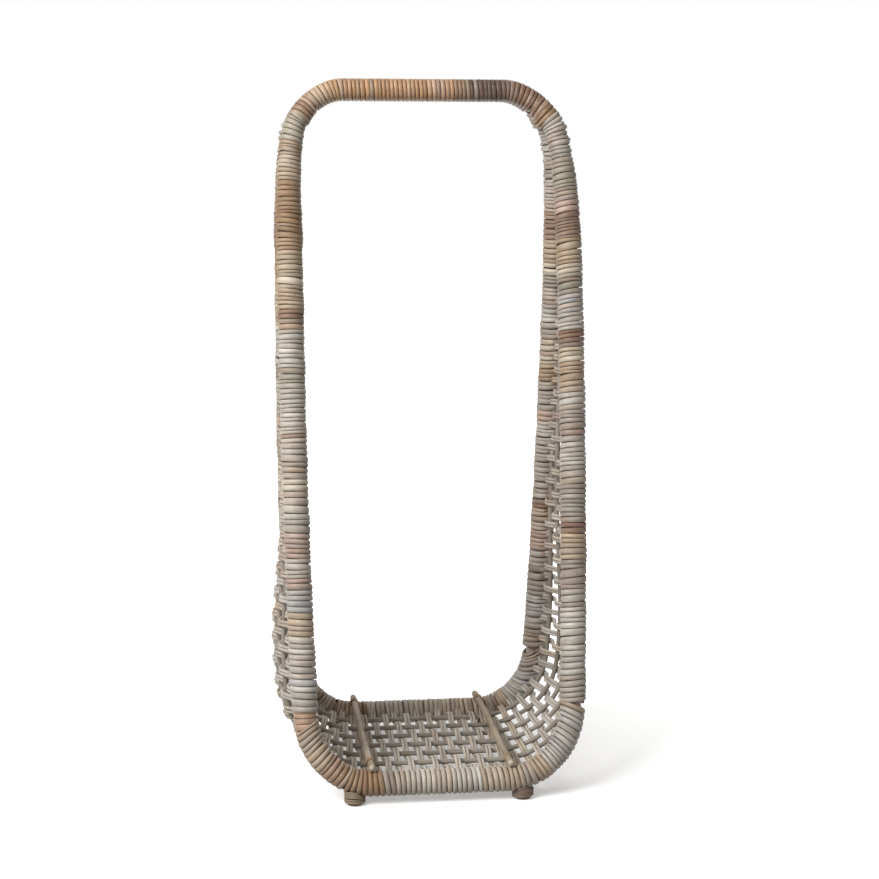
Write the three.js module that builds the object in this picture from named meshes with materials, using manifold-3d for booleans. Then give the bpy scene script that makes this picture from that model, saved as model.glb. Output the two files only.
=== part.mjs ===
// Tall rattan firewood basket: two bent pole hoops lean together under one bound handle, and a
// woven cradle hangs between them. Millimetres, +Z up, front towards -Y, origin on the floor
// under the middle of the basket.
import * as THREE from 'three';
import { ParametricGeometry } from 'three/addons/geometries/ParametricGeometry.js';
import { mergeVertices } from 'three/addons/utils/BufferGeometryUtils.js';
import Module from 'manifold-3d';

const wasm = await Module();
wasm.setup();

// Hoops, measured along their own leaning plane
const HALF_WIDTH = 196.5;
const HOOP_HEIGHT = 963;
const BOW = 0.071;
const WIDEST = 0.68;
const BOTTOM_RADIUS = 97;
const TOP_RADIUS = 60;
const SHOULDER_DRAW = 0.151;
const SHOULDER_FROM = 0.7;
const SWAY = -5.8;
const SWAY_FROM = 650;
const BAR_HEIGHT = 28;
const FOOT_SPREAD = 175;
const HANDLE_SPREAD = 14;
const LEAN = Math.asin((FOOT_SPREAD - HANDLE_SPREAD) / HOOP_HEIGHT);

// Section sizes
const POLE_RADIUS = 12;
const FIT_GAP = 0.4;
const UPRIGHT_RADIUS = 18.5;
const SHOULDER_RADIUS = 15.9;
const NECK = [815, 890];
const BAR_RADIUS = 18;
const HANDLE_BORE = 12.8;
const HANDLE_RADIUS = 15.4;
const GRIP_HEIGHT = 921;
const WEAVE_HALF = 8;
const WEAVE_SKIN = 3.6;
const WEAVE_EDGE = 19.9;
const RIB_RADIUS = 3.2;
const RUNNER_RADIUS = 5;
const RUNNER_X = 97;
const RUNNER_LENGTH = 366;

// Belly of the woven walls: how far they swell out, and where
const BELLY_ALL_OVER = 8;
const BELLY_EXTRA = 23;
const BELLY_HEIGHT = 152;
const BELLY_REACH = 152;

// Ribs across the depth, and the height each one climbs to
const RIB_TOPS = [430, 702, 430, 884, 430, 702, 430];
const WEAVE_TOP = 866;

// Feet
const FOOT_X = { '-1': -120, 1: 114 };
const FOOT_TOP = 22;
const PEG_RADIUS = 11;
const FOOT_WRAP_RADIUS = 15;
const FOOT_WRAP_LIFT = 1.5;
const NAIL_RADIUS = 1.8;
const NAIL_HEAD = 4;
const NAIL_HEAD_BOTTOM = 0.8;
const NAIL_HEAD_TOP = 2.6;
const NAIL_TOP = 34;

// Fineness
const SIDES = 10;
const CORNER_STEPS = 6;
const SIDE_STEPS = 10;
const WEAVE_STEPS = 8;
const RIB_SIDES = 6;

const FRONT = -1;
const BACK = 1;
const RIGHT = 1;
const LEFT = -1;

const finishes = {
  handle: { color: 0xa9865c, roughness: 0.55 },
  upright: { color: 0x9c8a76, roughness: 0.6 },
  bar: { color: 0xb0a28e, roughness: 0.62 },
  weave: { color: 0x8e8070, roughness: 0.65 },
  pole: { color: 0x8a5f3a, roughness: 0.5 },
  rib: { color: 0x937c62, roughness: 0.6 },
  runner: { color: 0xc9b48c, roughness: 0.6 },
  foot: { color: 0x6b5038, roughness: 0.6 },
  nail: { color: 0x8f8f8c, roughness: 0.4, metalness: 1 },
};

const part = new THREE.Group();

function add(name, finish, geometry) {
  const mesh = new THREE.Mesh(geometry, new THREE.MeshStandardMaterial(finishes[finish]));
  mesh.name = name;
  part.add(mesh);
}

// ---- closed surfaces and solids ----

function signedVolume(geometry) {
  const at = geometry.attributes.position;
  const corner = [new THREE.Vector3(), new THREE.Vector3(), new THREE.Vector3()];
  let volume = 0;
  for (let i = 0; i < geometry.index.count; i += 3) {
    corner.forEach((v, k) => v.fromBufferAttribute(at, geometry.index.getX(i + k)));
    volume += corner[0].dot(corner[1].cross(corner[2]));
  }
  return volume;
}

// Merges a geometry's shared vertices, drops triangles that closed to a line, and faces it out
function closed(geometry) {
  geometry.deleteAttribute('normal');
  geometry.deleteAttribute('uv');
  const merged = mergeVertices(geometry, 1e-3);
  const index = merged.index.array;
  const kept = [];
  for (let i = 0; i < index.length; i += 3) {
    const [a, b, c] = [index[i], index[i + 1], index[i + 2]];
    if (a !== b && b !== c && c !== a) kept.push(a, b, c);
  }
  merged.setIndex(kept);
  if (signedVolume(merged) < 0) merged.setIndex(kept.reverse());
  return merged;
}

function surface(pointAt, around, along) {
  const place = (u, v, target) => {
    target.copy(pointAt(Math.round(u * around) % around, Math.round(v * along)));
  };
  return closed(new ParametricGeometry(place, around, along));
}

function solid(geometry) {
  return new wasm.Manifold(new wasm.Mesh({
    numProp: 3,
    vertProperties: new Float32Array(geometry.attributes.position.array),
    triVerts: new Uint32Array(geometry.index.array),
  }));
}

function cut(geometry, cutters) {
  const result = cutters.reduce((body, cutter) => body.subtract(solid(cutter)), solid(geometry));
  const mesh = result.getMesh();
  const made = new THREE.BufferGeometry();
  made.setAttribute('position', new THREE.BufferAttribute(new Float32Array(mesh.vertProperties), 3));
  made.setIndex([...mesh.triVerts]);
  return made;
}

// ---- the hoop's outline, as stations from the bottom middle up one side to the top middle ----

function halfOutline() {
  const points = [[0, 0]];
  for (let i = 0; i <= CORNER_STEPS; i += 1) {
    const turn = (i / CORNER_STEPS) * Math.PI / 2;
    points.push([HALF_WIDTH - BOTTOM_RADIUS * (1 - Math.sin(turn)), BOTTOM_RADIUS * (1 - Math.cos(turn))]);
  }
  const side = HOOP_HEIGHT - BOTTOM_RADIUS - TOP_RADIUS;
  for (let i = 1; i < SIDE_STEPS; i += 1) {
    points.push([HALF_WIDTH, BOTTOM_RADIUS + side * i / SIDE_STEPS]);
  }
  for (let i = 0; i <= CORNER_STEPS; i += 1) {
    const turn = (i / CORNER_STEPS) * Math.PI / 2;
    points.push([
      HALF_WIDTH - TOP_RADIUS * (1 - Math.cos(turn)),
      HOOP_HEIGHT - TOP_RADIUS * (1 - Math.sin(turn)),
    ]);
  }
  points.push([0, HOOP_HEIGHT]);
  return points.map(([x, h]) => {
    const bow = BOW * ((h / HOOP_HEIGHT - WIDEST) / WIDEST) ** 2;
    const rise = Math.max(0, h / HOOP_HEIGHT - SHOULDER_FROM) / (1 - SHOULDER_FROM);
    return [x * (1 - bow - SHOULDER_DRAW * rise ** 5), h];
  });
}

// How far the handmade frame leans sideways at a height
function sway(h) {
  return SWAY * (Math.max(0, h - SWAY_FROM) / (HOOP_HEIGHT - SWAY_FROM)) ** 2;
}

const outline = halfOutline();
const TOP_STATION = outline.length - 1;
const CORNER_STATION = 1 + CORNER_STEPS;
const SHOULDER_STATION = CORNER_STATION + SIDE_STEPS;
const BAR_STATION = 3;
const BASE_STATION = 1.5;

function station(index) {
  const side = index < 0 ? LEFT : RIGHT;
  const i = Math.abs(index);
  const before = i === 0 ? [-outline[1][0], outline[1][1]] : outline[i - 1];
  const after = i === TOP_STATION ? [-outline[i - 1][0], outline[i - 1][1]] : outline[i + 1];
  const along = new THREE.Vector2(after[0] - before[0], after[1] - before[1]).normalize();
  return {
    x: side * outline[i][0] + sway(outline[i][1]),
    h: outline[i][1],
    nx: side * along.y,
    nh: -along.x,
    spread: FOOT_SPREAD - outline[i][1] * Math.sin(LEAN),
    z: BAR_HEIGHT + outline[i][1] * Math.cos(LEAN),
  };
}

// The point that pointAt gives at a place between two stations
function between(place, pointAt) {
  const low = Math.floor(place);
  const start = pointAt(station(low));
  return place === low ? start : start.lerp(pointAt(station(low + 1)), place - low);
}

// The place between stations where a side reaches a height along the hoop
function placeAtHeight(height) {
  const next = outline.findIndex(([, h]) => h > height);
  const [low, high] = [outline[next - 1][1], outline[next][1]];
  return next - 1 + (height - low) / (high - low);
}

// A piece's own ends with the stations that lie between them
function places(from, to) {
  const list = [from];
  for (let i = Math.floor(from) + 1; i < to; i += 1) list.push(i);
  list.push(to);
  return list;
}

function hoopPoint(face, place, radiusAt, turn) {
  return between(place, ({ x, h, nx, nh, spread, z }) => {
    const out = radiusAt(h) * Math.cos(turn);
    const across = radiusAt(h) * Math.sin(turn);
    return new THREE.Vector3(
      x + nx * out,
      face * spread - face * nh * Math.sin(LEAN) * out + Math.cos(LEAN) * across,
      z + nh * Math.cos(LEAN) * out + face * Math.sin(LEAN) * across,
    );
  });
}

// ---- poles and their wraps ----

function pole(face) {
  const round = 2 * TOP_STATION;
  return surface((i, j) => {
    const place = (j % round) - TOP_STATION;
    return hoopPoint(face, place, () => POLE_RADIUS, (i / SIDES) * 2 * Math.PI);
  }, SIDES, round);
}

// A tube wall round a path: out along its outer face and back along its bore
function sleeve(list, around, outerAt, boreAt) {
  const count = list.length;
  return surface((i, j) => {
    const k = j % (2 * count);
    return k < count ? outerAt(list[k], i) : boreAt(list[2 * count - 1 - k], i);
  }, around, 2 * count);
}

function poleWrap(face, from, to, radiusAt) {
  const ring = (size) => (place, i) => hoopPoint(face, place, size, (i / SIDES) * 2 * Math.PI);
  return sleeve(places(from, to), SIDES, ring(radiusAt), ring(() => POLE_RADIUS + FIT_GAP));
}

// The radius outside a bar's or corner's cane, and outside an upright's, which thins at the neck
const barRadius = () => BAR_RADIUS;

function uprightRadius(h) {
  const rise = THREE.MathUtils.smoothstep(h, ...NECK);
  return THREE.MathUtils.lerp(UPRIGHT_RADIUS, SHOULDER_RADIUS, rise);
}

function handlePoint(place, radius, i, around) {
  return between(place, ({ x, nx, nh, spread, z }) => {
    const turn = ((i + 0.5) / around) * 2 * Math.PI;
    const out = radius * Math.cos(turn);
    const across = Math.sin(turn);
    return new THREE.Vector3(x + nx * out, Math.sign(across) * spread + radius * across, z + nh * out);
  });
}

function handleWrap() {
  const around = 12;
  const list = places(placeAtHeight(GRIP_HEIGHT), TOP_STATION);
  const back = list.slice(0, -1).reverse().map((place) => -place);
  const ring = (size) => (place, i) => handlePoint(place, size, i, around);
  return sleeve([...list, ...back], around, ring(HANDLE_RADIUS), ring(HANDLE_BORE));
}

// ---- woven cradle ----

function belly({ h, nx }) {
  return (BELLY_ALL_OVER + BELLY_EXTRA * Math.exp(-(((h - BELLY_HEIGHT) / BELLY_REACH) ** 2))) * nx * nx;
}

// A point of the cradle: how far across its depth from -1 to 1, out from its middle surface
function cradlePoint(place, across, out) {
  return between(place, (at) => {
    const swell = belly(at) * (1 - across * across) + out;
    return new THREE.Vector3(at.x + at.nx * swell, across * at.spread, at.z + at.nh * swell);
  });
}

function weavePoint(place, step, out) {
  return between(place, (at) => {
    const across = (2 * step / WEAVE_STEPS - 1) * (1 - WEAVE_EDGE / at.spread);
    const swell = belly(at) * (1 - across * across) + out;
    return new THREE.Vector3(at.x + at.nx * swell, across * at.spread, at.z + at.nh * swell);
  });
}

function closedEnds(list, around, ringPoint, centrePoint) {
  const count = list.length;
  return surface((i, j) => {
    if (j === 0) return centrePoint(list[0]);
    if (j === count + 1) return centrePoint(list[count - 1]);
    return ringPoint(list[j - 1], i);
  }, around, count + 1);
}

function rib(number) {
  const across = number / 4 - 1;
  const top = placeAtHeight(RIB_TOPS[number - 1]);
  const ring = (place, i) => {
    const turn = (i / RIB_SIDES) * 2 * Math.PI;
    const point = cradlePoint(place, across, RIB_RADIUS * Math.cos(turn));
    return point.setY(point.y + RIB_RADIUS * Math.sin(turn));
  };
  return closedEnds(places(-top, top), RIB_SIDES, ring, (place) => cradlePoint(place, across, 0));
}

// The weavers that pass on one face of the ribs, outside (1) or inside (-1), as one closed layer
function weaveLayer(from, to, side) {
  const faceSteps = WEAVE_STEPS + 1;
  const [near, far] = [side * (WEAVE_HALF - WEAVE_SKIN), side * WEAVE_HALF];
  const ring = (place, i) => {
    if (i < faceSteps) return weavePoint(place, i, far);
    return weavePoint(place, 2 * faceSteps - 1 - i, near);
  };
  const middle = (place) => weavePoint(place, WEAVE_STEPS / 2, (near + far) / 2);
  return closedEnds(places(from, to), 2 * faceSteps, ring, middle);
}

// ---- base runners, feet and nails ----

function turned(profile, sides) {
  const points = profile.map(([radius, height]) => new THREE.Vector2(radius, height));
  return new THREE.LatheGeometry(points, sides).rotateX(Math.PI / 2);
}

function runner(side) {
  const rod = new THREE.CylinderGeometry(RUNNER_RADIUS, RUNNER_RADIUS, RUNNER_LENGTH, SIDES);
  return rod.translate(side * RUNNER_X, 0, BAR_HEIGHT + BAR_RADIUS + FIT_GAP + RUNNER_RADIUS);
}

// The space above a foot that the bound bar takes up
function barSpace(face) {
  const end = BAR_STATION + 1;
  const list = places(-end, end);
  const ring = (place, i) => {
    const turn = (i / SIDES) * 2 * Math.PI;
    return hoopPoint(face, place, () => BAR_RADIUS + FIT_GAP, turn);
  };
  return closedEnds(list, SIDES, ring, (place) => hoopPoint(face, place, () => 0, 0));
}

function footPlace(geometry, face, side) {
  return closed(geometry.translate(FOOT_X[side], face * FOOT_SPREAD, 0));
}

function nail(face, side, gap) {
  const [head, shaft] = [NAIL_HEAD + gap, NAIL_RADIUS + gap];
  const bottom = gap > 0 ? -1 : NAIL_HEAD_BOTTOM;
  const profile = [
    [0, bottom], [head, bottom], [head, NAIL_HEAD_TOP + gap],
    [shaft, NAIL_HEAD_TOP + gap], [shaft, NAIL_TOP + gap], [0, NAIL_TOP + gap],
  ];
  return footPlace(turned(profile, 8), face, side);
}

function peg(face, side) {
  const body = turned([[0, 0], [PEG_RADIUS, 0], [PEG_RADIUS, FOOT_TOP], [0, FOOT_TOP]], 14);
  return cut(footPlace(body, face, side), [barSpace(face), nail(face, side, FIT_GAP)]);
}

function footWrap(face, side) {
  const [bore, low, high] = [PEG_RADIUS + FIT_GAP, FOOT_WRAP_LIFT, FOOT_TOP];
  const profile = [
    [bore, low], [FOOT_WRAP_RADIUS, low], [FOOT_WRAP_RADIUS, high], [bore, high], [bore, low],
  ];
  return cut(footPlace(turned(profile, 14), face, side), [barSpace(face)]);
}

// ---- the basket ----

const SEAM = 0.015;
const LAP = 0.2;
const weaveTop = placeAtHeight(WEAVE_TOP);
const grip = placeAtHeight(GRIP_HEIGHT);
const faces = [['front', FRONT], ['back', BACK]];
const sides = [['left', LEFT], ['right', RIGHT]];
const span = (side, from, to) => (side === RIGHT ? [from, to] : [-to, -from]);

add('handle_wrap', 'handle', handleWrap());
for (const [faceName, face] of faces) {
  const nails = sides.map(([, side]) => nail(face, side, FIT_GAP));
  add(`${faceName}_hoop_pole`, 'pole', cut(pole(face), nails));
  const bar = poleWrap(face, -BAR_STATION, BAR_STATION, barRadius);
  add(`${faceName}_bar_wrap`, 'bar', cut(bar, nails));
  for (const [sideName, side] of sides) {
    const name = `${faceName}_${sideName}`;
    const lower = span(side, BAR_STATION + SEAM, CORNER_STATION - SEAM);
    const upright = span(side, CORNER_STATION, SHOULDER_STATION);
    const shoulder = span(side, SHOULDER_STATION + SEAM, grip - LAP);
    add(`${name}_corner_wrap`, 'bar', poleWrap(face, ...lower, barRadius));
    add(`${name}_upright_wrap`, 'upright', poleWrap(face, ...upright, uprightRadius));
    add(`${name}_shoulder_wrap`, 'upright', poleWrap(face, ...shoulder, uprightRadius));
    add(`${name}_foot_peg`, 'foot', peg(face, side));
    add(`${name}_foot_wrap`, 'foot', footWrap(face, side));
    add(`${name}_foot_nail`, 'nail', nail(face, side, 0));
  }
}
for (const [layerName, layer] of [['outer', 1], ['inner', -1]]) {
  add(`base_${layerName}_weave`, 'weave', weaveLayer(-BASE_STATION, BASE_STATION, layer));
  for (const [sideName, side] of sides) {
    const corner = span(side, BASE_STATION + SEAM, CORNER_STATION - SEAM);
    const wall = span(side, CORNER_STATION, weaveTop);
    add(`${sideName}_corner_${layerName}_weave`, 'weave', weaveLayer(...corner, layer));
    add(`${sideName}_wall_${layerName}_weave`, 'weave', weaveLayer(...wall, layer));
  }
}
for (const [sideName, side] of sides) add(`${sideName}_base_runner`, 'runner', closed(runner(side)));
RIB_TOPS.forEach((height, k) => add(`rib_${k + 1}`, 'rib', rib(k + 1)));

export default part;
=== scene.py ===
"""Tall rattan firewood basket: cane bindings, woven cradle, poles and feet, with a small studio."""

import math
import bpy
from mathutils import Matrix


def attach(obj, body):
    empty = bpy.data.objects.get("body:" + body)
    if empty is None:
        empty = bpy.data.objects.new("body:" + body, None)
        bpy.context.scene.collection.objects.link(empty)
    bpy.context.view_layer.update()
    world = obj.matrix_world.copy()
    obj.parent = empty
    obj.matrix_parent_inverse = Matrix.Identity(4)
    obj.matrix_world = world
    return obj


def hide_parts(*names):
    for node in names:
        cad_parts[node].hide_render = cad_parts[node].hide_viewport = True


bl_info = {
    "name": "Rattan firewood basket",
    "version": (1, 0, 0),
    "blender": (4, 5, 0),
    "location": "3D View > Sidebar > Basket",
    "description": "Builds a woven firewood basket round its packed frame",
    "category": "Object",
}

import bpy
import numpy as np
from mathutils import Vector

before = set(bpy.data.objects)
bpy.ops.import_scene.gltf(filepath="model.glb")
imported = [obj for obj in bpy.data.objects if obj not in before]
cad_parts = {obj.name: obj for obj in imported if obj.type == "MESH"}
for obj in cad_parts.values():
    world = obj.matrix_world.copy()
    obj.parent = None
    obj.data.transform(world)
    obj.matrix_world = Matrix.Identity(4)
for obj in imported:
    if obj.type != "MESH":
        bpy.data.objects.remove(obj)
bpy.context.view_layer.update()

FRONT, BACK = -1, 1
LEFT, RIGHT = -1, 1
FACES = (("front", FRONT), ("back", BACK))
SIDES = (("left", LEFT), ("right", RIGHT))

# The hoops' outline in their own leaning plane, in metres
HALF_WIDTH = 0.1965
HOOP_HEIGHT = 0.963
BOW = 0.071
WIDEST = 0.68
BOTTOM_RADIUS = 0.097
TOP_RADIUS = 0.060
SHOULDER_DRAW = 0.151
SHOULDER_FROM = 0.7
SWAY = -0.0058
SWAY_FROM = 0.650
BAR_HEIGHT = 0.028
FOOT_SPREAD = 0.175
HANDLE_SPREAD = 0.014
SIN_LEAN = (FOOT_SPREAD - HANDLE_SPREAD) / HOOP_HEIGHT
COS_LEAN = math.sqrt(1 - SIN_LEAN**2)

# The cradle's belly, ribs and rows; the base's rows reach BASE_FLAT either side of the middle
BELLY_ALL_OVER = 0.008
BELLY_EXTRA = 0.023
BELLY_HEIGHT = 0.152
BELLY_REACH = 0.152
RIB_TOPS = (0.430, 0.702, 0.430, 0.884, 0.430, 0.702, 0.430)
WEAVE_TOP = 0.912
CLOSE_ROWS_FROM = 0.704
BASE_FLAT = 0.092
ROW_STRAY = 0.0006

# Where one binding gives way to the next, as heights along the hoop
BAR_END = 0.131
CORNER_TOP = {LEFT: 0.083, RIGHT: 0.101}
UPRIGHT_FOOT = {LEFT: 0.102, RIGHT: 0.104}
UPRIGHT_TOP = 0.872
GRIP = 0.921
GRIP_LAP = 0.003
HANDLE_END = 0.034
END_LEAN = 0.0035
END_LUMP = {LEFT: 0.0024, RIGHT: 0.0052}
END_LUMP_HEIGHT = 0.026

POLE_RADIUS = 0.012
HANDLE_RADIUS = 0.0154
UPRIGHT_RADIUS = 0.0185
SHOULDER_RADIUS = 0.0157
NECK = (0.805, 0.890)
BAR_RADIUS = 0.018
CORNER_SLANT = 0.0085

# Feet and runners
FOOT_X = {LEFT: -0.120, RIGHT: 0.114}
PEG_RADIUS = 0.011
FOOT_WRAP_RADIUS = 0.015
FOOT_FLOOR_GAP = 0.0012
FOOT_HEIGHT = 0.022
FOOT_WOUND = 0.0150
RUNNER_X = 0.097
RUNNER_LENGTH = 0.366
RUNNER_RADIUS = 0.005
RUNNER_HEIGHT = 0.0514
LASHING_AT = 0.151


def linear(code):
    """A colour's linear values from its six hexadecimal digits."""
    parts = [int(code[i:i + 2], 16) / 255 for i in (0, 2, 4)]
    return tuple(p / 12.92 if p <= 0.04045 else ((p + 0.055) / 1.055) ** 2.4 for p in parts)


def colour(name, description, code):
    return bpy.props.FloatVectorProperty(
        name=name, description=description, default=linear(code), subtype="COLOR", min=0, max=1
    )


def length(name, description, default):
    return bpy.props.FloatProperty(
        name=name, description=description, default=default, unit="LENGTH", min=0, precision=4
    )


class BasketSizes(bpy.types.PropertyGroup):
    handle_pitch: length("Handle turn", "Width of one turn round the handle", 0.0060)
    handle_end_pitch: length("Handle end turn", "Width of a turn at the handle's ends", 0.0072)
    upright_pitch: length("Upright turn", "Width of one turn at an upright's foot", 0.0084)
    shoulder_pitch: length("Shoulder turn", "Width of one turn at an upright's top", 0.0059)
    bar_pitch: length("Bar turn", "Width of one turn round a bottom bar", 0.0072)
    foot_pitch: length("Foot turn", "Width of one turn round a foot", 0.0030)
    handle_cane: length("Handle cane", "Thickness of the cane round the handle", 0.0028)
    upright_cane: length("Upright cane", "Thickness of the cane round an upright", 0.0042)
    bar_cane: length("Bar cane", "Thickness of the cane round a bottom bar", 0.0052)
    row_pitch: length("Row spacing", "Height of one row of the weave with its gap", 0.0174)
    close_row_pitch: length("Close row spacing", "Height of one row near the handle", 0.0083)
    weaver: length("Weaver", "Diameter of one weaver in the cradle", 0.0047)
    rib: length("Rib", "Diameter of one rib", 0.0074)


class BasketColours(bpy.types.PropertyGroup):
    ash: colour("Ash grey", "Weathered pale grey cane", "BAB3A8")
    stone: colour("Stone grey", "Weathered darker grey cane", "A2978A")
    moss: colour("Moss grey", "Grey cane with a green cast", "9D9583")
    slate: colour("Slate grey", "Grey cane with a violet cast", "B3AFAC")
    cream: colour("Cream", "Palest cane", "C6B9A4")
    sand: colour("Sand", "Pale beige cane", "B09B82")
    honey: colour("Honey", "Golden tan cane", "B68C66")
    tan: colour("Tan", "Warm tan cane", "957758")
    rose: colour("Rose", "Cane with a pink cast", "AF9688")
    bark: colour("Bark", "Reddish brown cane", "80604C")
    umber: colour("Umber", "Dark brown cane", "503728")
    # The darkest brown serves the pores, and also the painted shade with grime in the grooves
    # between turns.
    grime_and_shade: colour("Grime", "Dirt between the turns", "1F150E")


# ---- the hoop's outline and the frames along it ----


def half_outline():
    """Points up one half of a hoop, with the distance along it, from the bottom middle."""
    side = [(HALF_WIDTH, h) for h in np.linspace(BOTTOM_RADIUS, HOOP_HEIGHT - TOP_RADIUS, 90)]
    turns = np.linspace(0, math.pi / 2, 40)
    low = [
        (HALF_WIDTH - BOTTOM_RADIUS * (1 - math.sin(t)), BOTTOM_RADIUS * (1 - math.cos(t)))
        for t in turns
    ]
    high = [
        (HALF_WIDTH - TOP_RADIUS * (1 - math.cos(t)), HOOP_HEIGHT - TOP_RADIUS * (1 - math.sin(t)))
        for t in turns
    ]
    flat = [(x, 0.0) for x in np.linspace(0, low[0][0], 20)[:-1]]
    top = [(x, HOOP_HEIGHT) for x in np.linspace(high[-1][0], 0, 20)[1:]]
    points = np.array(flat + low + side[1:-1] + high + top)
    share = points[:, 1] / HOOP_HEIGHT
    bow = BOW * ((share - WIDEST) / WIDEST) ** 2
    drawn = np.clip((share - SHOULDER_FROM) / (1 - SHOULDER_FROM), 0, 1) ** 5
    points[:, 0] *= 1 - bow - SHOULDER_DRAW * drawn
    run = np.concatenate([[0], np.cumsum(np.hypot(*np.diff(points, axis=0).T))])
    return run, points[:, 0], points[:, 1]


RUN, RUN_X, RUN_H = half_outline()
HALF_RUN = RUN[-1]
RUN_TX, RUN_TH = np.gradient(RUN_X, RUN), np.gradient(RUN_H, RUN)


def run_at_height(height):
    """The distance along a half hoop where it reaches a height."""
    rising = RUN_H > 1e-6
    return float(np.interp(height, RUN_H[rising], RUN[rising]))


def sway(height):
    """How far the handmade frame leans sideways at a height."""
    return SWAY * (np.clip(height - SWAY_FROM, 0, None) / (HOOP_HEIGHT - SWAY_FROM)) ** 2


def bar_middle(x):
    """The height above the floor of a bottom bar's middle at a place along x."""
    low = RUN_H < 0.5 * BOTTOM_RADIUS
    return BAR_HEIGHT + COS_LEAN * np.interp(np.abs(x), RUN_X[low], RUN_H[low])


def outline(run):
    """x, height and unit tangent of the hoop at signed distances, positive to the right."""
    run = (np.asarray(run) + HALF_RUN) % (2 * HALF_RUN) - HALF_RUN
    size, side = np.abs(run), np.where(run < 0, LEFT, RIGHT)
    tx, th = np.interp(size, RUN, RUN_TX), np.interp(size, RUN, RUN_TH)
    norm = np.hypot(tx, th)
    h = np.interp(size, RUN, RUN_H)
    return side * np.interp(size, RUN, RUN_X) + sway(h), h, tx / norm, side * th / norm


def hoop(face, run):
    """Centre, outward normal and sideways axis of a hoop's pole at distances along it."""
    x, h, tx, th = outline(run)
    centre = np.stack([x, face * (FOOT_SPREAD - h * SIN_LEAN), BAR_HEIGHT + h * COS_LEAN], -1)
    out = np.stack([th, face * tx * SIN_LEAN, -tx * COS_LEAN], -1)
    across = np.broadcast_to((0, COS_LEAN, face * SIN_LEAN), centre.shape)
    return centre, out, across


def cradle(run, depth, out):
    """Points of the cradle: depth -1 is on the front pole and 1 on the back one."""
    x, h, tx, th = outline(run)
    bulge = BELLY_ALL_OVER + BELLY_EXTRA * np.exp(-(((h - BELLY_HEIGHT) / BELLY_REACH) ** 2))
    swell = bulge * th**2 * (1 - depth**2) + out
    spread = FOOT_SPREAD - h * SIN_LEAN
    return np.stack([x + th * swell, depth * spread, BAR_HEIGHT + h * COS_LEAN - tx * swell], -1)


def smooth(low, high, value):
    t = np.clip((value - low) / (high - low), 0, 1)
    return t * t * (3 - 2 * t)


def wander(rng, places, step):
    """A smooth random line through -1 to 1, with one new value every step."""
    knots = np.arange(places.min() - step, places.max() + 2 * step, step)
    return np.interp(places, knots, rng.uniform(-1, 1, len(knots)))


# ---- straight cane, and laying it ----


def deselect():
    if bpy.context.mode != "OBJECT":
        bpy.ops.object.mode_set(mode="OBJECT")
    bpy.ops.object.select_all(action="DESELECT")


STOCK_GAP = 4.0


def straight_cane(name, sections, count=1, sides=8):
    """Straight round canes side by side, one unit in radius, with a ring at each unit of height."""
    deselect()
    bpy.ops.mesh.primitive_cylinder_add(
        vertices=sides, radius=1, depth=1, end_fill_type="NOTHING", location=(0, 0, 0.5)
    )
    cane = bpy.context.object
    cane.name = cane.data.name = name
    bpy.ops.object.transform_apply(location=True, rotation=True, scale=True)
    repeat(cane, sections, (0, 0, 1), True)
    bpy.ops.object.mode_set(mode="EDIT")
    bpy.ops.mesh.select_all(action="SELECT")
    bpy.ops.mesh.fill_holes(sides=sides)
    bpy.ops.object.mode_set(mode="OBJECT")
    if count > 1:
        repeat(cane, count, (STOCK_GAP, 0, 0), False)
    return cane


def repeat(piece, count, step, merge):
    array = piece.modifiers.new("repeat", "ARRAY")
    array.count = count
    array.use_relative_offset = False
    array.use_constant_offset = True
    array.constant_offset_displace = step
    array.use_merge_vertices = merge
    bpy.ops.object.modifier_apply(modifier=array.name)


def stock_places(cane):
    """For each vertex of straight canes: its cane, its ring, and its place on the ring."""
    co = np.empty(3 * len(cane.data.vertices))
    cane.data.vertices.foreach_get("co", co)
    x, y, z = co.reshape(-1, 3).T
    number = np.round(x / STOCK_GAP)
    return number.astype(int), z, x - number * STOCK_GAP, y


def lay(cane, points, grain, tone, crease):
    """Moves straight cane to its places, and notes its grain, its colour and its groove depth,
    which the finish darkens as painted shade.
    """
    mesh = cane.data
    mesh.vertices.foreach_set("co", points.ravel())
    mesh.update()
    for label, kind, key, values in (
        ("grain", "FLOAT_VECTOR", "vector", grain),
        ("tone", "FLOAT_COLOR", "color", np.c_[tone, np.ones(len(tone))]),
        ("crease", "FLOAT", "value", crease),
    ):
        noted = mesh.attributes.new(label, kind, "POINT").data
        noted.foreach_set(key, values.astype(float).ravel())
    if inside_out(mesh):
        mesh.flip_normals()
    mesh.polygons.foreach_set("use_smooth", np.ones(len(mesh.polygons), bool))
    mesh.update()
    return cane


def inside_out(mesh):
    corners = np.empty(len(mesh.vertices) * 3)
    mesh.vertices.foreach_get("co", corners)
    corners = corners.reshape(-1, 3)
    mesh.calc_loop_triangles()
    index = np.empty(len(mesh.loop_triangles) * 3, int)
    mesh.loop_triangles.foreach_get("vertices", index)
    a, b, c = (corners[index[k::3]] for k in range(3))
    return float(np.einsum("ij,ij->i", a, np.cross(b, c)).sum()) < 0


def place_piece(piece, finish, slot, *nodes):
    piece.data.materials.clear()
    piece.data.materials.append(finish)
    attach(piece, "root")
    if nodes:
        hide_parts(*nodes)


# ---- cane colours, one length of cane after another ----

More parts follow.
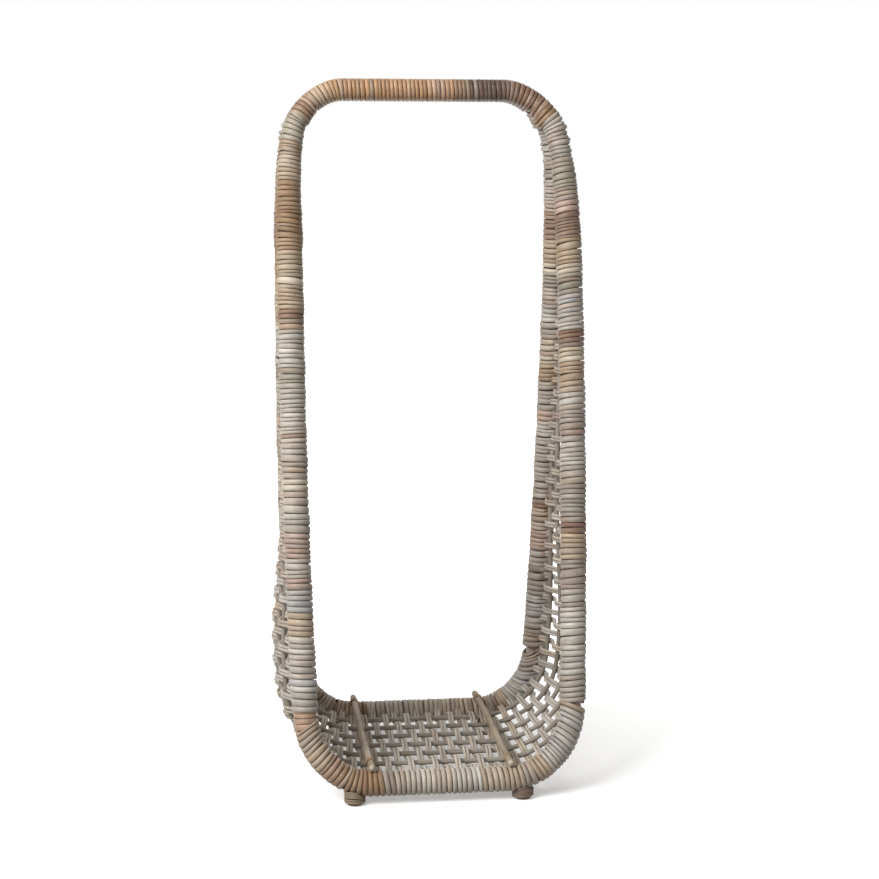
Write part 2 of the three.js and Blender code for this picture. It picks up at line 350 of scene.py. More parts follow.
# Lengths of cane down each side from the shoulder: (height where it ends, colours it runs through)
SIDE_CANES = {
    RIGHT: (
        (0.862, "ash stone"), (0.815, "stone moss"), (0.789, "stone rose"), (0.752, "tan bark"),
        (0.714, "tan sand"), (0.703, "cream"), (0.672, "moss stone"), (0.648, "slate rose"),
        (0.622, "ash"), (0.600, "stone bark"), (0.580, "cream sand"), (0.538, "sand tan"),
        (0.490, "ash stone"), (0.472, "bark rose"), (0.405, "stone ash"), (0.352, "stone moss"),
        (0.335, "bark stone"), (0.300, "sand ash"), (0.262, "stone rose"), (0.190, "ash stone"),
        (0.140, "ash slate"), (0.101, "stone sand"),
    ),
    LEFT: (
        (0.890, "moss stone"), (0.835, "tan sand"), (0.795, "tan"), (0.735, "tan bark"),
        (0.700, "sand tan"), (0.655, "cream sand"), (0.626, "sand bark"), (0.570, "ash slate"),
        (0.545, "moss stone"), (0.490, "ash stone"), (0.450, "ash sand"), (0.425, "stone sand"),
        (0.350, "cream ash"), (0.315, "ash rose"), (0.285, "ash sand"), (0.269, "rose bark"),
        (0.234, "slate ash"), (0.205, "sand rose"), (0.183, "ash cream"), (0.163, "ash rose"),
        (0.135, "slate ash"), (0.101, "ash slate"),
    ),
}
CORNER_CANES = {
    RIGHT: (
        (0.235, "stone sand"), (0.185, "slate ash"), (0.150, "ash slate"), (0.115, "sand stone"),
    ),
    LEFT: (
        (0.235, "sand stone"), (0.200, "stone sand"), (0.165, "sand stone"), (0.115, "tan stone"),
    ),
}
BASE_CANES = (
    (0.085, "tan sand"), (0.055, "sand stone"), (0.000, "ash sand"), (-0.050, "ash cream"),
    (-0.080, "stone sand"), (-0.115, "tan bark"),
)
HANDLE_CANES = (
    (0.05, "tan bark"), (0.22, "honey sand"), (0.50, "honey tan"), (0.60, "honey rose"),
    (0.66, "tan bark"), (0.73, "umber"), (0.80, "umber bark"), (0.93, "bark tan"),
    (1.0, "tan bark"),
)


def palette():
    """Every cane colour by name."""
    props = bpy.context.scene.basket_colours
    return {key: np.array(getattr(props, key)) for key in BasketColours.__annotations__}


def cane_list():
    """(lower end, upper end, colours) of every length of cane round the cradle, by signed run."""
    lengths = []
    for side in (LEFT, RIGHT):
        upper = HALF_RUN
        for height, names in SIDE_CANES[side]:
            lower = run_at_height(height)
            lengths.append((side * upper, side * lower, names))
            upper = lower
        for run, names in CORNER_CANES[side]:
            lengths.append((side * upper, side * run, names))
            upper = run
    upper = CORNER_CANES[RIGHT][-1][0]
    for run, names in BASE_CANES:
        lengths.append((upper, run, names))
        upper = run
    return [(min(a, b), max(a, b), names.split()) for a, b, names in lengths]


def turn_tones(runs, rng, canes, colours):
    """The colour of each turn or weaver: its own length of cane's, with what sun and dirt did."""
    tones = np.empty((len(runs), 3))
    blend = 0.0
    for k, run in enumerate(runs):
        names = next((c for a, b, c in canes if a <= run <= b), ["stone", "ash"])
        blend = np.clip(blend + rng.normal(0, 0.28), 0, 1)
        pick = colours[names[0]] + (colours[names[-1]] - colours[names[0]]) * blend
        other = colours[rng.choice(("ash", "stone", "sand", "rose", "bark"))]
        share = rng.uniform(0.25, 0.55) if rng.random() < 0.16 else rng.uniform(0, 0.15)
        mixed = pick + (other - pick) * share
        tones[k] = mixed * rng.uniform(0.84, 1.10)
    return np.clip(tones, 0.01, 0.9)


# ---- bindings: cane wound round a pole ----

TURN_STEPS = 24
LEAN_PHASE = math.pi / 2


def groove_shade_of(py):
    """How deep in the groove between turns a point of a cane lies, from its place on the ring; the
    finish darkens the cane by it as painted shade.
    """
    return np.clip((0.68 - py) / 0.7, 0, 1)


def even(radius):
    """The same radius all along."""
    return lambda run: np.full(np.shape(run), radius)


def upright_radius(run):
    """The outside of an upright's cane, which thins at the neck and isn't quite even."""
    h = outline(run)[1]
    neck = SHOULDER_RADIUS - UPRIGHT_RADIUS
    uneven = 0.00035 * np.sin(h * 61 + 1.3 * np.sign(run)) + 0.00025 * np.sin(h * 143 + 0.7)
    return UPRIGHT_RADIUS + neck * (0.28 * (h > 0.789) + 0.72 * smooth(*NECK, h)) + uneven


def wind(name, spine, start, end, pitch, thick, radius, rng, tones_of, lean=None,
         steps=TURN_STEPS, uneven=0.22, loose=1.0):
    """One cane wound from start to end.

    spine gives a point for a run, an angle and a radius; pitch is a turn's width at each end,
    radius gives the distance of the cane's outside from the spine's middle, and uneven says how
    much the turns' widths differ and loose how far they stray.
    """
    count = max(3, round(2 * abs(end - start) / sum(pitch)))
    spread = np.clip(np.exp(uneven * rng.standard_normal(count)), 0.6, 1.9)
    widths = np.linspace(*pitch, count) * spread
    edges = np.concatenate([[0], np.cumsum(widths)])
    edges *= (end - start) / edges[-1]
    cane = straight_cane(name, count * steps)
    _, ring, px, py = stock_places(cane)
    turn = ring / steps
    knots = np.arange(count + 1)

    def along(t):
        return np.interp(t, knots, edges)

    to_end = np.minimum(turn, count - turn)
    width = np.abs(along(turn + 0.5) - along(turn - 0.5)) / np.clip(0.5 + to_end, 0.5, 1)
    tuck = 1 - smooth(0, 0.35, to_end)
    body = 0.5 * thick * (1 + 0.06 * wander(rng, turn, 1.3))
    proud = 0.09 * loose * thick * wander(rng, turn, 0.9)
    run = start + along(turn)
    middle = radius(run) - 0.5 * thick + proud - 0.8 * thick * tuck
    angle = 2 * math.pi * turn
    tilt = 0.08 * wander(rng, turn, 1.0) + 0.20 * wander(rng, turn, 7.0)
    slant = loose * np.mean(pitch) * tilt + (0 if lean is None else lean(run))
    flat = np.sign(px) * np.abs(px) ** 0.72
    domed = np.sign(py) * np.abs(py) ** 0.92
    run = run + 0.49 * flat * width + slant * np.cos(angle + LEAN_PHASE)
    points = spine(run, angle, middle + domed * body)
    tones = tones_of(start + along(knots[:-1] + 0.5))
    own = np.clip(np.floor(turn), 0, count - 1).astype(int)
    tone = tones[own] * (1 + 0.08 * wander(rng, turn, 0.23))[:, None]
    grain = np.stack([px * width * 0.5, py * body, turn * 2 * math.pi * 0.018], -1)
    return lay(cane, points, grain, tone, groove_shade_of(py))


def pole_spine(face):
    def spine(run, angle, radius):
        centre, out, across = hoop(face, run)
        angle = angle[:, None] - face * math.pi / 2
        return centre + radius[:, None] * (np.cos(angle) * out + np.sin(angle) * across)
    return spine


def grip_spine(run, angle, radius):
    """Round both poles at once: an oval that widens where the poles part."""
    x, h, tx, th = outline(run)
    half = FOOT_SPREAD - h * SIN_LEAN
    out, across = np.cos(angle + math.pi), np.sin(angle + math.pi)
    shift = half * np.tanh(7 * across)
    lump = np.where(x > 0, END_LUMP[RIGHT], END_LUMP[LEFT])
    lump = lump * (1 - smooth(GRIP, GRIP + END_LUMP_HEIGHT, h))
    rise = out * (radius + lump * np.clip(-out, 0, 1))
    height = BAR_HEIGHT + h * COS_LEAN - tx * rise
    return np.stack([x + th * rise, shift + radius * across, height], -1)


def corner_lean(side, top):
    """Turns at a bottom corner start steeply slanted and come square to the pole round the bend."""
    high = run_at_height(top)

    def lean(run):
        return -side * CORNER_SLANT * smooth(BAR_END, high, np.abs(run)) ** 0.7
    return lean


class Binding(bpy.types.Operator):
    """Cane wound round the uprights, corners, bars and shoulders of both hoops"""

    bl_idname = "basket.binding"
    bl_label = "Hoop bindings"

    def execute(self, context):
        sizes = context.scene.basket_sizes
        colours, canes = palette(), cane_list()
        finish = cane_finish("Bound cane", 0.50)
        for face_name, face in FACES:
            spine = pole_spine(face)
            rng = np.random.default_rng(11 + face)

            def tones_of(runs):
                return turn_tones(runs, rng, canes, colours)

            bar_pitch = (sizes.bar_pitch, sizes.bar_pitch)
            bar = wind(f"{face_name}_bar_binding", spine, -BAR_END, BAR_END,
                       bar_pitch, sizes.bar_cane, even(BAR_RADIUS), rng, tones_of, uneven=0.09)
            place_piece(bar, finish, "bar_cane", f"{face_name}_bar_wrap")
            for side_name, side in SIDES:
                name = f"{face_name}_{side_name}"
                top = CORNER_TOP[side] if face == FRONT else CORNER_TOP[RIGHT]
                foot = run_at_height(UPRIGHT_FOOT[side])
                neck = run_at_height(UPRIGHT_TOP)
                upright = (sizes.upright_pitch, sizes.shoulder_pitch)
                shoulder = (sizes.shoulder_pitch, sizes.shoulder_pitch)
                spans = (
                    ("corner", BAR_END, run_at_height(top), bar_pitch, sizes.bar_cane,
                     even(BAR_RADIUS), corner_lean(side, top), "bar_cane"),
                    ("upright", foot, neck, upright, sizes.upright_cane,
                     upright_radius, None, "upright_cane"),
                    ("shoulder", neck, run_at_height(GRIP) + 0.004, shoulder, sizes.upright_cane,
                     upright_radius, None, "upright_cane"),
                )
                for label, low, high, pitch, cane, radius, lean, slot in spans:
                    piece = wind(f"{name}_{label}_binding", spine, side * low, side * high,
                                 pitch, cane, radius, rng, tones_of, lean)
                    place_piece(piece, finish, slot, f"{name}_{label}_wrap")
        self.under_binding(finish)
        return {"FINISHED"}

    def under_binding(self, finish):
        """The broad, smooth turns that show where the front left upright's cane stops short."""
        colours = palette()
        rng = np.random.default_rng(17)
        warm = 0.5 * (colours["honey"] + colours["rose"])

        def tones_of(runs):
            return np.outer(rng.uniform(0.92, 1.08, len(runs)), warm)

        ends = (CORNER_TOP[LEFT] - 0.016, UPRIGHT_FOOT[LEFT] + 0.012)
        low, high = (-run_at_height(h) for h in ends)
        piece = wind("front_left_under_binding", pole_spine(FRONT), low, high, (0.0085, 0.0085),
                     0.0018, even(UPRIGHT_RADIUS - 0.0024), rng, tones_of)
        place_piece(piece, finish, "upright_cane")


class Handle(bpy.types.Operator):
    """Cane wound round both poles at once to make the handle"""

    bl_idname = "basket.handle"
    bl_label = "Handle binding"

    def execute(self, context):
        sizes = context.scene.basket_sizes
        colours = palette()
        finish = cane_finish("Handle cane", 0.44)
        rng = np.random.default_rng(5)
        low = run_at_height(GRIP) - GRIP_LAP
        high = 2 * HALF_RUN - run_at_height(GRIP) + GRIP_LAP
        canes, left_end = [], high
        for share, names in HANDLE_CANES:
            right_end = high + (low - high) * share
            canes.append((right_end, left_end, names.split()))
            left_end = right_end

        def tones_of(runs):
            return turn_tones(runs, rng, canes, colours)

        def lean(run):
            return END_LEAN * np.sign(run - HALF_RUN)

        end, broad = HANDLE_END, (sizes.handle_end_pitch, sizes.handle_pitch)
        for label, span, pitch, thick in (
            ("middle", (low + end, high - end), (sizes.handle_pitch,) * 2, sizes.handle_cane),
            ("right_end", (low, low + end), broad, sizes.handle_cane),
            ("left_end", (high - end, high), broad[::-1], sizes.handle_cane),
        ):
            piece = wind(f"handle_{label}_binding", grip_spine, *span, pitch, thick,
                         even(HANDLE_RADIUS), rng, tones_of, lean if "end" in label else None,
                         steps=40, uneven=0.14, loose=0.3)
            place_piece(piece, finish, "handle_cane", "handle_wrap")
        return {"FINISHED"}


# ---- the woven cradle ----


def crossings(height):
    """How many spaces the ribs leave across the depth at each height."""
    below = [height < RIB_TOPS[0], height < RIB_TOPS[1], height < RIB_TOPS[3]]
    return np.select(below, [8, 4, 2], 1)


def weave_rows(low, high, pitch, rng):
    """Where the rows run, each a little off its place."""
    count = max(1, round((high - low) / pitch))
    even_rows = low + (np.arange(count) + 0.5) * (high - low) / count
    return even_rows + rng.uniform(-1, 1, count) * ROW_STRAY


def weave(name, low, high, pitch, mates, weaver, rib, rng, tones_of):
    """Rows from front to back, of one weaver or of two side by side, over and under the ribs."""
    rows = weave_rows(low, high, pitch, rng)
    heights = outline(rows)[1]
    steps = max(24, 10 * int(crossings(heights).max()))
    cane = straight_cane(name, steps, mates * len(rows))
    number, ring, px, py = stock_places(cane)
    row, mate = number // mates, (2 * (number % mates) - 1) * (mates - 1)
    depth = 2 * ring / steps - 1
    run, height = rows[row], heights[row]
    spread = FOOT_SPREAD - height * SIN_LEAN
    to_pole = (1 - np.abs(depth)) * spread
    near = 1 - smooth(0.006, 0.024, to_pole)
    turns = crossings(height) * (depth + 1) / 2
    swing = np.where(row % 2 == 0, 1, -1) * np.cos(math.pi * turns)
    over_rib = 0.5 * rib + 0.46 * weaver
    reach = over_rib + (POLE_RADIUS + 0.0022 - over_rib) * near
    thick = weaver * (1 + 0.08 * rng.standard_normal(mates * len(rows)))[number]
    thick *= 1 + 0.05 * wander(rng, depth * 30 + number * 77.0, 2.0)
    sag = 0.0008 * wander(rng, row * 53.0 + depth * 6, 0.9)
    lift = 0.0004 * wander(rng, number * 31.0 + depth * 9, 0.8)
    out = reach * swing + lift + 0.5 * thick * py
    points = cradle(run + mate * 0.49 * weaver + sag + 0.5 * thick * px, depth, out)
    tones = tones_of(np.repeat(rows, mates))[number]
    tone = tones * (1 + 0.07 * wander(rng, number * 91.0 + depth * 10, 0.7))[:, None]
    grain = np.stack([px * 0.5 * thick, py * 0.5 * thick, depth * spread + number * 0.37], -1)
    # Painted shade: a weaver darkens a little everywhere, more on the side against its mate, and
    # more again near the poles, where shade falls.
    shade_between_mates = np.clip(-px * mate, 0, 1) ** 2
    return lay(cane, points, grain, tone, 0.04 + 0.45 * shade_between_mates + 0.3 * near)


class Cradle(bpy.types.Operator):
    """The woven walls, corners and base, row by row"""

    bl_idname = "basket.cradle"
    bl_label = "Woven cradle"

    def execute(self, context):
        sizes = context.scene.basket_sizes
        colours, canes = palette(), cane_list()
        finish = cane_finish("Woven cane", 0.60)
        rng = np.random.default_rng(23)
        bend = run_at_height(BOTTOM_RADIUS)

        def tones_of(runs):
            plain = 0.5 * (colours["ash"] + colours["stone"])
            return (0.5 * turn_tones(runs, rng, canes, colours) + 0.5 * plain) * 1.12

        def layers(place):
            return f"{place}_outer_weave", f"{place}_inner_weave"

        def part(name, place, span, pitch, mates):
            piece = weave(name, *sorted(span), pitch, mates, sizes.weaver, sizes.rib, rng,
                          tones_of)
            place_piece(piece, finish, "weave_cane", *layers(place))

        pitch, close = sizes.row_pitch, sizes.close_row_pitch
        top = run_at_height(WEAVE_TOP)
        close_from = run_at_height(CLOSE_ROWS_FROM)
        part("base_weavers", "base", (-BASE_FLAT, BASE_FLAT), pitch, 2)
        for name, side in SIDES:
            part(f"{name}_corner_weavers", f"{name}_corner", (side * BASE_FLAT, side * bend),
                 pitch, 2)
            part(f"{name}_wall_weavers", f"{name}_wall", (side * bend, side * close_from),
                 pitch, 2)
            part(f"{name}_neck_weavers", f"{name}_wall", (side * close_from, side * top),
                 close, 1)
        return {"FINISHED"}


class Ribs(bpy.types.Operator):
    """Round canes up one wall, across the base and up the other"""

    bl_idname = "basket.ribs"
    bl_label = "Ribs"

    def execute(self, context):
        sizes = context.scene.basket_sizes
        colours = palette()
        finish = cane_finish("Rib cane", 0.55)
        rng = np.random.default_rng(31)
        for number, height in enumerate(RIB_TOPS, start=1):
            top = run_at_height(height)
            steps = round(2 * top / 0.012)
            cane = straight_cane(f"rib_{number}_cane", steps)
            _, ring, px, py = stock_places(cane)
            run = (2 * ring / steps - 1) * top
            depth = number / 4 - 1
            radius = 0.5 * sizes.rib * (1 + 0.05 * wander(rng, run, 0.05))
            points = cradle(run, depth, radius * py)
            points[:, 1] += radius * px
            # Painted shade: the ribs are kept a fifth darker than stone grey and carry an even
            # groove shade of 0.25, so the holes in the weave read dark.
            tone = np.outer(1 + 0.15 * wander(rng, run, 0.04), colours["stone"] * 0.8)
            grain = np.stack([px * radius, py * radius, run], -1)
            lay(cane, points, grain, tone, np.full(len(run), 0.25))
            place_piece(cane, finish, "rib_rattan", f"rib_{number}")
        return {"FINISHED"}


class Poles(bpy.types.Operator):
    """The two bent rattan poles inside the bindings"""

    bl_idname = "basket.poles"
    bl_label = "Hoop poles"

    def execute(self, context):
        colours = palette()
        finish = cane_finish("Pole rattan", 0.42)
        rng = np.random.default_rng(41)
        for name, face in FACES:
            steps = 260
            cane = straight_cane(f"{name}_pole", steps, sides=20)
            _, ring, px, py = stock_places(cane)
            run = (2 * ring / steps - 1) * (HALF_RUN - 0.0005)
            centre, out, across = hoop(face, run)
            radius = POLE_RADIUS * (0.995 + 0.01 * np.cos(run / 0.19 * 2 * math.pi))
            points = centre + (radius * px)[:, None] * out + (radius * py)[:, None] * across
            tone = np.outer(1 + 0.10 * wander(rng, run, 0.02), colours["rose"] * 0.9)
            grain = np.stack([px * radius, py * radius, run], -1)
            lay(cane, points, grain, tone, np.full(len(run), 0.0))
            place_piece(cane, finish, "pole_rattan", f"{name}_hoop_pole")
        return {"FINISHED"}


class Runners(bpy.types.Operator):
    """Two rods from front to back across the base, each with a lashing near both ends"""

    bl_idname = "basket.runners"
    bl_label = "Base runners"

    def execute(self, context):
        colours = palette()
        finish = cane_finish("Rib cane", 0.55)
        rng = np.random.default_rng(53)
        for name, side in SIDES:
            steps = 60
            rod = straight_cane(f"{name}_runner_rod", steps, sides=16)
            _, ring, px, py = stock_places(rod)
            y = (ring / steps - 0.5) * RUNNER_LENGTH
            to_end = 0.5 * RUNNER_LENGTH - np.abs(y)
            knobbly = 0.97 + 0.03 * wander(rng, y, 0.04)
            rounded = 0.86 + 0.14 * smooth(0, 0.006, to_end)
            radius = RUNNER_RADIUS * knobbly * rounded
            x = side * RUNNER_X + 0.0008 * np.sin(y * 17 + side)
            points = np.stack([x + radius * px, y, RUNNER_HEIGHT + radius * py], -1)
            cut = (to_end < 1e-6)[:, None]
            tone = np.where(cut, colours["cream"] * 0.9, colours["sand"] * 0.72)
            tone = tone * (1 + 0.12 * wander(rng, y, 0.03))[:, None]
            grain = np.stack([px * radius, py * radius, y], -1)
            # A faint even painted shade (0.1) all along the rod.
            lay(rod, points, grain, tone, np.full(len(y), 0.1))
            place_piece(rod, finish, "runner_rattan", f"{name}_base_runner")

            def along_rod(run, angle, radius):
                return np.stack([side * RUNNER_X + radius * np.cos(angle), run,
                                 RUNNER_HEIGHT + radius * np.sin(angle)], -1)

            def tones_of(runs):
                return np.outer(rng.uniform(0.85, 1.1, len(runs)), colours["tan"])

            for end, at in (("front", -LASHING_AT), ("back", LASHING_AT)):
                lashing = wind(f"{name}_{end}_lashing", along_rod, at - 0.005, at + 0.005,
                               (0.0026, 0.0026), 0.0018, even(RUNNER_RADIUS + 0.0014), rng,
                               tones_of)
                place_piece(lashing, finish, "runner_rattan")
        return {"FINISHED"}


class Feet(bpy.types.Operator):
    """Four pegs under the bottom bars, bound with fine cane and nailed"""

    bl_idname = "basket.feet"
    bl_label = "Feet"

    def execute(self, context):
        sizes = context.scene.basket_sizes
        colours = palette()
        wood, cane = peg_finish(), cane_finish("Foot cane", 0.5)
        steel = plain_finish("Nail steel", "77746E", 0.38, 0.9)
        rng = np.random.default_rng(61)
        for face_name, face in FACES:
            for side_name, side in SIDES:
                name = f"{face_name}_{side_name}"
                place = (FOOT_X[side], face * FOOT_SPREAD)
                place_piece(self.peg(name, place), wood, "foot_wood", f"{name}_foot_peg")

                def up_peg(run, angle, radius):
                    """Level turns at the floor that come to follow the bar's underside."""
                    x, y = place[0] + radius * np.cos(angle), radius * np.sin(angle)
                    drop = np.sqrt(BAR_RADIUS**2 - np.clip(y, -0.0155, 0.0155) ** 2)
                    under = bar_middle(x) - drop
                    height = FOOT_FLOOR_GAP + run * (under - FOOT_FLOOR_GAP)
                    return np.stack([x, place[1] + y, height], -1)

                mossy = 0.5 * (colours["moss"] + colours["tan"])
                hue = colours["bark"] if side == RIGHT else mossy

                def tones_of(runs):
                    return np.outer(rng.uniform(0.75, 1.05, len(runs)), hue)

                count = round(FOOT_WOUND / sizes.foot_pitch)
                turns = wind(f"{name}_foot_binding", up_peg, 0.10, 0.95, (0.85 / count,) * 2,
                             0.0030, even(FOOT_WRAP_RADIUS), rng, tones_of)
                place_piece(turns, cane, "foot_cane", f"{name}_foot_wrap")
                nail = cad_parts[f"{name}_foot_nail"]
                nail.data.materials.clear()
                nail.data.materials.append(steel)
        return {"FINISHED"}

    def peg(self, name, place):
        """A turned peg with a worn bottom edge, hollowed on top to sit under the bar."""
        deselect()
        bpy.ops.mesh.primitive_cylinder_add(
            vertices=32, radius=PEG_RADIUS, depth=FOOT_HEIGHT,
            location=(*place, 0.5 * FOOT_HEIGHT),
        )
        body = bpy.context.object
        body.name = body.data.name = f"{name}_peg"
        bpy.ops.object.transform_apply(location=True, rotation=True, scale=True)
        soften(body, 0.0012, 3)
        bpy.ops.mesh.primitive_cylinder_add(
            vertices=48, radius=BAR_RADIUS - 0.0015, depth=0.06,
            location=(*place, float(bar_middle(place[0]))), rotation=(0, math.pi / 2, 0),
        )
        bar = bpy.context.object
        hollow = body.modifiers.new("hollow", "BOOLEAN")
        hollow.operation, hollow.object, hollow.solver = "DIFFERENCE", bar, "EXACT"
        deselect()
        bpy.context.view_layer.objects.active = body
        body.select_set(True)
        bpy.ops.object.modifier_apply(modifier=hollow.name)
        bpy.data.objects.remove(bar)
        bpy.ops.object.shade_smooth_by_angle(angle=math.radians(40))
        return body


def soften(piece, width, segments):
    bevel = piece.modifiers.new("worn edge", "BEVEL")
    bevel.width, bevel.segments, bevel.limit_method = width, segments, "ANGLE"
    bpy.ops.object.modifier_apply(modifier=bevel.name)


# ---- finishes ----


class Value:
    """A number in a shader tree; arithmetic on it adds the Math nodes."""

    def __init__(self, shader, socket):
        self.shader, self.socket = shader, socket

    def sum(self, operation, first, second):
        node = self.shader.node("ShaderNodeMath", {"operation": operation},
                                {0: first, 1: second})
        return Value(self.shader, node.outputs[0])

    def __add__(self, other):
        return self.sum("ADD", self, other)

    def __sub__(self, other):
        return self.sum("SUBTRACT", self, other)

    def __rsub__(self, other):
        return self.sum("SUBTRACT", other, self)

    def __mul__(self, other):
        return self.sum("MULTIPLY", self, other)

    __radd__, __rmul__ = __add__, __mul__


class Shader:
    """A material with one principled surface, and one way to add any node."""

    def __init__(self, name):
        self.material = bpy.data.materials.new(name)
        self.material.use_nodes = True
        self.tree = self.material.node_tree
        self.surface = self.tree.nodes["Principled BSDF"]

    def node(self, kind, settings, sockets):
        node = self.tree.nodes.new(kind)
        for key, value in settings.items():
            if key == "stops":
                self.set_stops(node.color_ramp, value)
            else:
                setattr(node, key, value)
        for key, value in sockets.items():
            self.feed(node.inputs[key], value)
        return node

    def set_stops(self, ramp, stops):
        while len(ramp.elements) < len(stops):
            ramp.elements.new(1)
        for element, (place, value) in zip(ramp.elements, stops):
            element.position, element.color = place, (value, value, value, 1)

    def feed(self, socket, value):
        if isinstance(value, Value):
            value = value.socket
        if isinstance(value, bpy.types.NodeSocket):
            self.tree.links.new(value, socket)
        else:
            socket.default_value = value

    def attribute(self, name):
        return self.node("ShaderNodeAttribute", {"attribute_name": name}, {})

    def noise(self, vector, stretch, detail=3.0, rough=0.55):
        scaled = self.node("ShaderNodeVectorMath", {"operation": "MULTIPLY"},
                           {0: vector, 1: stretch})
        made = self.node("ShaderNodeTexNoise", {}, {
            "Vector": scaled.outputs[0], "Scale": 1.0, "Detail": detail, "Roughness": rough,
        })
        return Value(self, made.outputs[0])

    def mix(self, share, first, second, blend="MIX"):
        node = self.node("ShaderNodeMix", {"data_type": "RGBA", "blend_type": blend},
                         {0: share, 6: first, 7: second})
        return node.outputs[2]

    def curve(self, value, stops):
        made = self.node("ShaderNodeValToRGB", {"stops": stops}, {0: value})
        return Value(self, made.outputs[0])


def cane_finish(name, gloss):
    """Weathered cane: long fibres, patches of sun and dirt, dark pores, and painted shade with
    grime in the grooves.
    """
    if name in bpy.data.materials:
        return bpy.data.materials[name]
    shader = Shader(name)
    colours = bpy.context.scene.basket_colours
    grain = shader.attribute("grain").outputs["Vector"]
    tone = shader.attribute("tone").outputs["Color"]
    crease = Value(shader, shader.attribute("crease").outputs["Fac"])
    place = shader.node("ShaderNodeTexCoord", {}, {}).outputs["Object"]
    fibre = shader.noise(grain, (2600, 2600, 90), 4.0, 0.6)
    patch = shader.noise(grain, (160, 160, 34), 3.0, 0.6)
    specks = shader.noise(grain, (1500, 1500, 260), 2.0, 0.7)
    pores = shader.curve(specks, ((0.60, 0), (0.72, 1)))
    cloud = shader.noise(place, (14, 14, 14), 3.0, 0.6)
    damp = shader.noise(place, (38, 38, 30), 4.0, 0.65)
    stain = shader.curve(damp, ((0.52, 0), (0.74, 1)))
    fibres = shader.curve(fibre, ((0.25, 0.66), (0.72, 1.12)))
    patches = shader.curve(patch, ((0.28, 0.76), (0.68, 1.14)))
    streaked = shader.mix(1.0, tone, fibres.socket, "MULTIPLY")
    patched = shader.mix(1.0, streaked, patches.socket, "MULTIPLY")
    bleached = shader.mix(shader.curve(cloud, ((0.45, 0), (0.75, 0.25))), patched,
                          (*linear("C9C3B8"), 1))
    stained = shader.mix(stain * 0.38, bleached, (*colours.bark, 1))
    brown = (*colours.grime_and_shade, 1)
    flecked = shader.mix(pores * 0.40, stained, brown)
    # Painted shade with grime: the cane darkens towards the dark brown by the square of its groove
    # depth, most in the grooves between turns.
    groove_shaded = shader.mix(crease * crease * 0.88, flecked, brown)
    shader.feed(shader.surface.inputs["Base Color"], groove_shaded)
    shader.feed(shader.surface.inputs["Roughness"], gloss + 0.22 * fibre + 0.12 * crease - 0.08)
    bump = shader.node("ShaderNodeBump", {}, {
        "Strength": 0.55, "Distance": 0.0004, "Height": fibre * 0.7 + patch * 0.5 - pores * 0.4,
    })
    shader.feed(shader.surface.inputs["Normal"], bump.outputs[0])
    shader.surface.inputs["Specular IOR Level"].default_value = 0.4
    return shader.material


def peg_finish():
    """Turned wood: fine grain and blotches of brown weathering."""
    shader = Shader("Peg wood")
    colours = bpy.context.scene.basket_colours
    place = shader.node("ShaderNodeTexCoord", {}, {}).outputs["Object"]
    grain = shader.noise(place, (420, 420, 60), 4.0, 0.6)
    blotch = shader.noise(place, (70, 70, 70), 3.0, 0.6)
    wood = shader.mix(grain, (*colours.umber, 1), (*colours.tan, 1))
    weathered = shader.mix(blotch * 0.6, wood, (*colours.bark, 1))
    shader.feed(shader.surface.inputs["Base Color"], weathered)
    shader.feed(shader.surface.inputs["Roughness"], 0.5 + 0.25 * grain)
    bump = shader.node("ShaderNodeBump", {}, {
        "Strength": 0.4, "Distance": 0.0004, "Height": grain + blotch,
    })
    shader.feed(shader.surface.inputs["Normal"], bump.outputs[0])
    return shader.material


def plain_finish(name, code, rough, metal=0.0):
    """A surface with faint mottling."""
    shader = Shader(name)
    place = shader.node("ShaderNodeTexCoord", {}, {}).outputs["Object"]
    mottle = shader.noise(place, (260, 260, 260))
    base = linear(code)
    shader.feed(shader.surface.inputs["Base Color"],
                shader.mix(mottle * 0.5, (*base, 1), (*(0.55 * c for c in base), 1)))
    shader.feed(shader.surface.inputs["Roughness"], rough + 0.2 * mottle)
    shader.surface.inputs["Metallic"].default_value = metal
    return shader.material


def floor_finish():
    """A white floor that glows away from the basket, so that it runs into the white beyond."""
    shader = Shader("Studio floor")
    place = shader.node("ShaderNodeTexCoord", {}, {}).outputs["Object"]
    measure = shader.node("ShaderNodeVectorMath", {"operation": "LENGTH"}, {0: place})
    reach = Value(shader, measure.outputs[1])
    glow = shader.curve(reach * 0.4, ((0.05, FLOOR_GLOW), (0.55, 1.0)))
    shader.surface.inputs["Base Color"].default_value = (*linear(FLOOR_WHITE), 1)
    shader.surface.inputs["Roughness"].default_value = 0.8
    shader.surface.inputs["Specular IOR Level"].default_value = 0.1
    shader.surface.inputs["Emission Strength"].default_value = 1.0
    shader.feed(shader.surface.inputs["Emission Color"], glow)
    return shader.material


# ---- the studio ----

CAMERA_AZIMUTH = math.radians(-6.9)
CAMERA_PITCH = math.radians(7.5)
CAMERA_DISTANCE = 2.611
CAMERA_TARGET = Vector((0.0184, 0.0, 0.481))
CAMERA_LENS = 73.95
FLOOR_RADIUS = 30.0
FLOOR_WHITE = "F4F3F1"
FLOOR_GLOW = 0.24
FILL_LIGHT = 0.29
LAMP_TARGET = Vector((0, 0, 0.5))
# Place, size and power: a key light from the left, a weak one from the right, one overhead and
# a soft one behind
LAMPS = (
    ((-1.85, -1.65, 2.1), 1.7, 120),
    ((2.6, -1.6, 1.4), 2.2, 5),
    ((0.0, 0.4, 3.2), 2.0, 8),
    ((0.7, 2.5, 1.9), 2.4, 30),
)


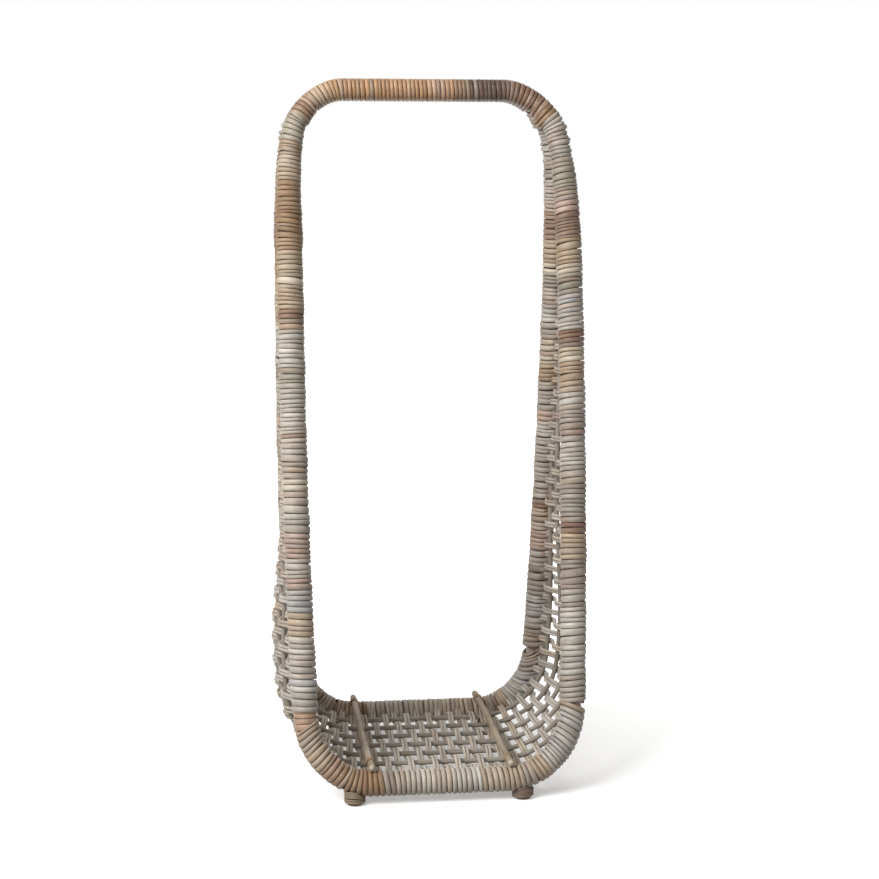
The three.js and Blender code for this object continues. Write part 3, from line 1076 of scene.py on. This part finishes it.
class Studio(bpy.types.Operator):
    """A pale floor, soft lights and the camera"""

    bl_idname = "basket.studio"
    bl_label = "Studio"

    def execute(self, context):
        deselect()
        bpy.ops.mesh.primitive_circle_add(vertices=96, radius=FLOOR_RADIUS, fill_type="NGON")
        floor = context.object
        floor.name = "studio_floor"
        floor.data.materials.append(floor_finish())
        floor.visible_diffuse = False
        context.scene.world = self.white_world()
        for place, size, power in LAMPS:
            aim = (LAMP_TARGET - Vector(place)).to_track_quat("-Z", "Y").to_euler()
            bpy.ops.object.light_add(type="AREA", location=place, rotation=aim)
            lamp = context.object.data
            lamp.size, lamp.energy = size, power
        toward = Vector((
            math.sin(CAMERA_AZIMUTH) * math.cos(CAMERA_PITCH),
            -math.cos(CAMERA_AZIMUTH) * math.cos(CAMERA_PITCH),
            math.sin(CAMERA_PITCH),
        ))
        place = CAMERA_TARGET + toward * CAMERA_DISTANCE
        turn = (-toward).to_track_quat("-Z", "Y").to_euler()
        bpy.ops.object.camera_add(location=place, rotation=turn)
        camera = context.object
        camera.data.lens = CAMERA_LENS
        context.scene.camera = camera
        context.scene.view_settings.view_transform = "Standard"
        return {"FINISHED"}

    def white_world(self):
        """White to look at, and a soft dimmer white as light."""
        world = bpy.data.worlds.new("Studio world")
        world.use_nodes = True
        tree = world.node_tree
        backdrop = tree.nodes["Background"]
        backdrop.inputs["Color"].default_value = (1, 1, 1, 1)
        path = tree.nodes.new("ShaderNodeLightPath")
        strength = tree.nodes.new("ShaderNodeMapRange")
        strength.inputs["To Min"].default_value = FILL_LIGHT
        strength.inputs["To Max"].default_value = 1.0
        tree.links.new(path.outputs["Is Camera Ray"], strength.inputs["Value"])
        tree.links.new(strength.outputs[0], backdrop.inputs["Strength"])
        return world


class BasketPanel(bpy.types.Panel):
    """Lists the basket's sizes, colours and operators"""

    bl_idname = "VIEW3D_PT_basket"
    bl_label = "Firewood basket"
    bl_space_type = "VIEW_3D"
    bl_region_type = "UI"
    bl_category = "Basket"

    def draw(self, context):
        layout = self.layout
        for kind, group in ((BasketSizes, context.scene.basket_sizes),
                            (BasketColours, context.scene.basket_colours)):
            for key in kind.__annotations__:
                layout.prop(group, key)
        for step in STEPS:
            layout.operator(step.bl_idname)


STEPS = (Poles, Binding, Handle, Ribs, Cradle, Runners, Feet, Studio)
CLASSES = (BasketSizes, BasketColours, *STEPS, BasketPanel)


def register():
    for item in CLASSES:
        bpy.utils.register_class(item)
    bpy.types.Scene.basket_sizes = bpy.props.PointerProperty(type=BasketSizes)
    bpy.types.Scene.basket_colours = bpy.props.PointerProperty(type=BasketColours)


def unregister():
    del bpy.types.Scene.basket_colours
    del bpy.types.Scene.basket_sizes
    for item in reversed(CLASSES):
        bpy.utils.unregister_class(item)


def main():
    register()
    bpy.ops.basket.poles()
    bpy.ops.basket.binding()
    bpy.ops.basket.handle()
    bpy.ops.basket.ribs()
    bpy.ops.basket.cradle()
    bpy.ops.basket.runners()
    bpy.ops.basket.feet()
    bpy.ops.basket.studio()


if __name__ == "__main__":
    main()
